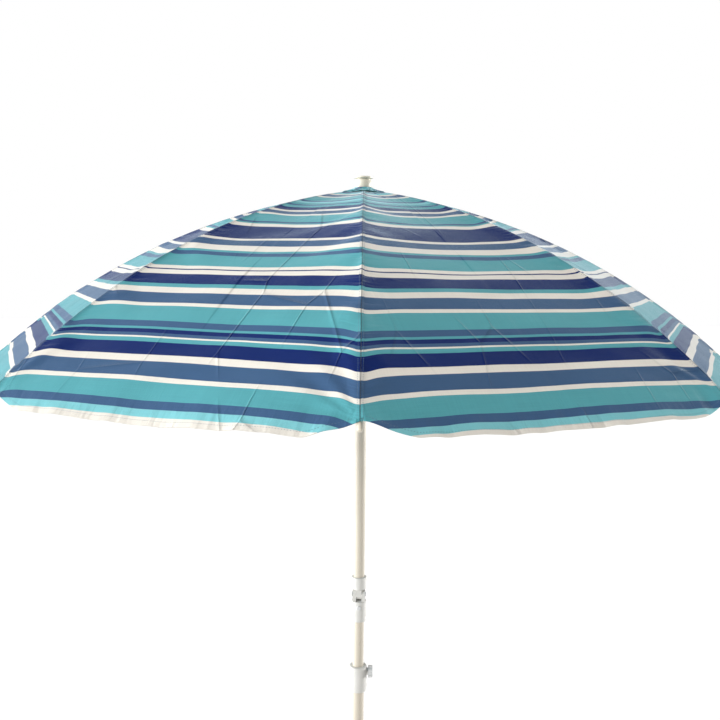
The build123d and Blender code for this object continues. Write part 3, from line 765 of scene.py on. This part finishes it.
def build_collar(name, inner, outer, lift, waves, seed, turn):
    """A gathered round of the same cloth, ruffled towards its edge."""
    share = np.linspace(0, 1, COLLAR_RINGS)[:, None]
    angle = np.linspace(0, 2 * pi, COLLAR_AROUND + 1)[None, :]
    pleat = (np.sin(waves * angle + 1.7 * np.sin(3 * angle + seed))
             + 0.6 * np.sin((waves * 1.7 // 1) * angle + seed * 2.1))
    # the noise repeats where the ring closes
    ragged = 0.5 * np.sin(5 * angle + seed) + 0.5 * np.sin(8 * angle + 2.3 * seed)
    radius = inner + share * (outer - inner + COLLAR_RAGGED * ragged)
    height = profile(radius)[1]
    neck = COLLAR_NECK * (1 - share) ** 1.3
    top = height + lift + neck + COLLAR_RUFFLE * share * (1 + 0.55 * pleat)
    point = np.stack([radius * np.sin(angle), -radius * np.cos(angle), APEX_Z + top], -1)
    down = np.gradient(point, axis=0)
    over = np.gradient(point, axis=1)
    over[:, 0] = over[:, -1] = (point[:, 1] - point[:, -2]) / 2
    normal = unit(np.cross(down, over))
    normal = np.where(normal[..., 2:] < 0, -normal, normal)
    down_stripes = point[..., 1] * cos(turn) + point[..., 0] * sin(turn) + COLLAR_STRIPE
    uv = np.stack([point[..., 0], down_stripes], -1)
    return closed_sheet(name, point, point - normal * COLLAR_CLOTH, uv, normal, CLOTH_LOOK)


lower_collar = build_collar("top_collar_lower", COLLAR_INNER, COLLAR_LOWER, 0.0012, 9, 2.0, 0.5)
upper_collar = build_collar("top_collar_upper", COLLAR_INNER, COLLAR_UPPER, 0.0026, 7, 5.0, -0.9)
for collar, outer in ((lower_collar, COLLAR_LOWER), (upper_collar, COLLAR_UPPER)):
    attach(collar, "head")
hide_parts("top_patch")

# ------------------------------------------------------------------ floor, light and camera
FLOOR_HALF = 30.0
FLOOR_GAP = 0.0005              # below the spike's point
floor_mesh = bpy.data.meshes.new("floor")
floor_corners = [(x * FLOOR_HALF, y * FLOOR_HALF, cad_low.z - FLOOR_GAP)
                 for x, y in ((-1, -1), (1, -1), (1, 1), (-1, 1))]
floor_mesh.from_pydata(floor_corners, [], [(0, 1, 2, 3)])
floor = bpy.data.objects.new("floor", floor_mesh)
bpy.context.collection.objects.link(floor)
floor_look = Nodes("floor_look")
floor_look.set(Base_Color=(0.90, 0.90, 0.90, 1.0), Roughness=0.9)
floor_mesh.materials.append(floor_look.material)

# the world is white but for the side towards DARK_WAY, which keeps the right gore in shade
DARK_WAY = (0.66, -0.75, 0.0)
DARK_RANGE = (-0.10, 0.60)      # where along that way it starts to darken and is darkest
DARK_TINT = (0.42, 0.37, 0.33, 1.0)
world = bpy.data.worlds.new("studio")
bpy.context.scene.world = world
world.use_nodes = True
sky = world.node_tree
toward = sky.nodes.new("ShaderNodeTexCoord")
facing_right = sky.nodes.new("ShaderNodeVectorMath")
facing_right.operation = "DOT_PRODUCT"
facing_right.inputs[1].default_value = DARK_WAY
dimmed = sky.nodes.new("ShaderNodeMapRange")
for slot, value in zip(list(dimmed.inputs)[1:5], (*DARK_RANGE, 0.0, 1.0)):
    slot.default_value = value
tint = sky.nodes.new("ShaderNodeValToRGB")
tint.color_ramp.elements[0].color = (1.0, 1.0, 1.0, 1.0)
tint.color_ramp.elements[1].color = DARK_TINT
sky.links.new(toward.outputs["Generated"], facing_right.inputs[0])
sky.links.new(facing_right.outputs["Value"], dimmed.inputs[0])
sky.links.new(dimmed.outputs[0], tint.inputs[0])
sky.links.new(tint.outputs[0], sky.nodes["Background"].inputs[0])
bpy.context.scene.view_settings.view_transform = "Standard"


def sun(name, direction, strength, softness):
    """A soft white sun that shines from a direction towards the umbrella."""
    light = bpy.data.lights.new(name, "SUN")
    light.energy = strength
    light.angle = radians(softness)
    lamp = bpy.data.objects.new(name, light)
    lamp.rotation_euler = Vector(direction).to_track_quat("Z", "Y").to_euler()
    bpy.context.collection.objects.link(lamp)


sun("key", (-0.90, -0.60, 0.34), 3.0, 25)
sun("left_side", (-1.00, 0.22, -0.02), 6.0, 20)
sun("right_side", (1.00, 0.35, -0.05), 7.5, 20)

CAMERA_PLACE = Vector((0.0031, -1.867, APEX_Z - 0.1743))
YAW = radians(0.20)
PITCH = radians(6.02)
ROLL = radians(0.65)
LENS = 42.2                     # millimetres, as the sensor's width is
SENSOR = 36.0
camera = bpy.data.cameras.new("camera")
camera.lens = LENS
camera.sensor_width = SENSOR
shooter = bpy.data.objects.new("camera", camera)
shooter.matrix_world = (Matrix.Translation(CAMERA_PLACE) @ Matrix.Rotation(YAW, 4, "Z")
                        @ Matrix.Rotation(pi / 2 - PITCH, 4, "X") @ Matrix.Rotation(ROLL, 4, "Z"))
bpy.context.collection.objects.link(shooter)
bpy.context.scene.camera = shooter
